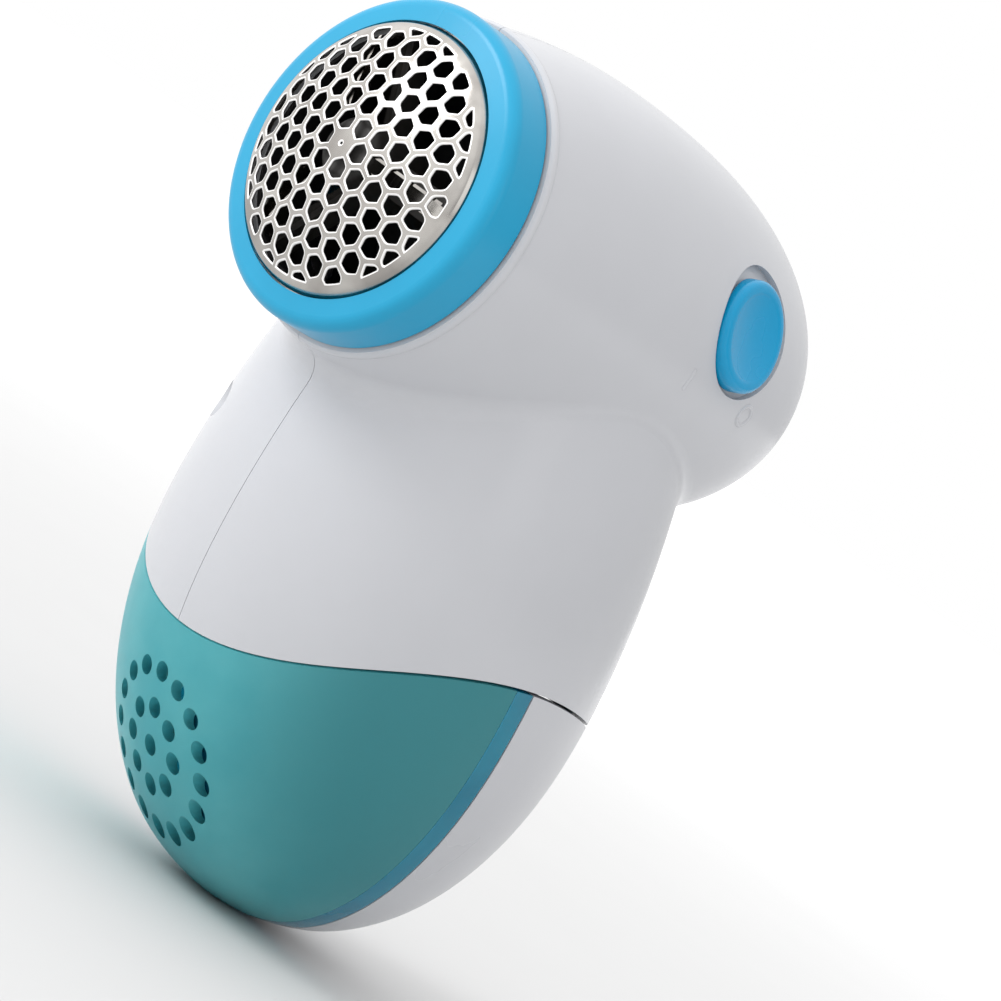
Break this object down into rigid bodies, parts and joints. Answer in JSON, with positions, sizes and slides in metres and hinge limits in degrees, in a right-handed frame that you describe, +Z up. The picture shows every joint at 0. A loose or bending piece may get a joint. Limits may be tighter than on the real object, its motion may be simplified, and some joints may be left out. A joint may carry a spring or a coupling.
{
  "type": "fabric shaver",
  "caption": "Battery fabric shaver: round perforated foil head on an egg-shaped barrel, with an egg-shaped handle holding a lint bin and a battery door.",
  "frame": {"origin": "on the barrel's axis, in the middle of the head ring's outer wall", "axes": "-Y out through the foil, +Z up away from the handle, +X the side with the switch"},
  "size_m": [0.0642, 0.0961, 0.1252],
  "materials": {
    "white_plastic": "glossy",
    "door_plastic": "satin",
    "inner_plastic": "matte",
    "black_plastic": "matte",
    "hub_plastic": "matte",
    "ring_plastic": "semi-gloss",
    "button_plastic": "semi-gloss",
    "bin_frosted": "frosted",
    "bin_clear": "polished",
    "foil_steel": "polished",
    "motor_steel": "brushed",
    "screw_steel": "plated",
    "bronze": "plain",
    "magnet": "sintered",
    "cell_jacket": "printed jacket"
  },
  "bodies": {
    "housing": {"shell_right": "white_plastic", "shell_left": "white_plastic", "shell_screws": "screw_steel", "bulkhead": "black_plastic", "chamber_liner": "black_plastic", "motor_can": "motor_steel", "motor_bushes": "bronze", "motor_end_cap": "black_plastic", "motor_terminals": "bronze", "motor_magnets": "magnet", "battery_holder": "inner_plastic", "battery_cells": "cell_jacket", "battery_springs": "screw_steel", "bridge_plate": "screw_steel", "contact_plates": "screw_steel", "switch_body": "black_plastic", "switch_terminals": "bronze"},
    "cutter": {"cutter_blades": "foil_steel", "cutter_hub": "hub_plastic", "drive_spindle": "hub_plastic", "cutter_spring": "screw_steel", "motor_shaft": "motor_steel", "motor_armature": "magnet"},
    "foil": {"foil": "foil_steel"},
    "ring": {"head_ring": "ring_plastic"},
    "switch": {"switch_button": "button_plastic", "switch_carriage": "inner_plastic"},
    "bin": {"lint_bin": "bin_frosted", "bin_back": "bin_clear"},
    "door": {"battery_door": "door_plastic"}
  },
  "joints": [
    {"name": "cutter_spin", "type": "hinge", "parent": "housing", "child": "cutter", "pos_m": [0, 0, 0], "axis": [0, -1, 0], "continuous": true},
    {"name": "head_lift", "type": "slide", "parent": "housing", "child": "foil", "axis": [0, -1, 0], "range_m": [0, 0.016]},
    {"name": "ring_turn", "type": "hinge", "parent": "foil", "child": "ring", "pos_m": [0, 0, 0], "axis": [0, -1, 0], "range_deg": [-1, 730]},
    {"name": "switch_slide", "type": "slide", "parent": "housing", "child": "switch", "axis": [-0.11, 0.9932, -0.0383], "range_m": [0, 0.002]},
    {"name": "bin_slide", "type": "slide", "parent": "housing", "child": "bin", "axis": [0, 0.17, -0.9854], "range_m": [0, 0.05]},
    {"name": "door_slide", "type": "slide", "parent": "housing", "child": "door", "axis": [0, 0.17, -0.9854], "range_m": [0, 0.05]}
  ],
  "couplings": [
    {"joint": "ring_turn", "follows": "head_lift", "rad_per_m": 785.4}
  ]
}
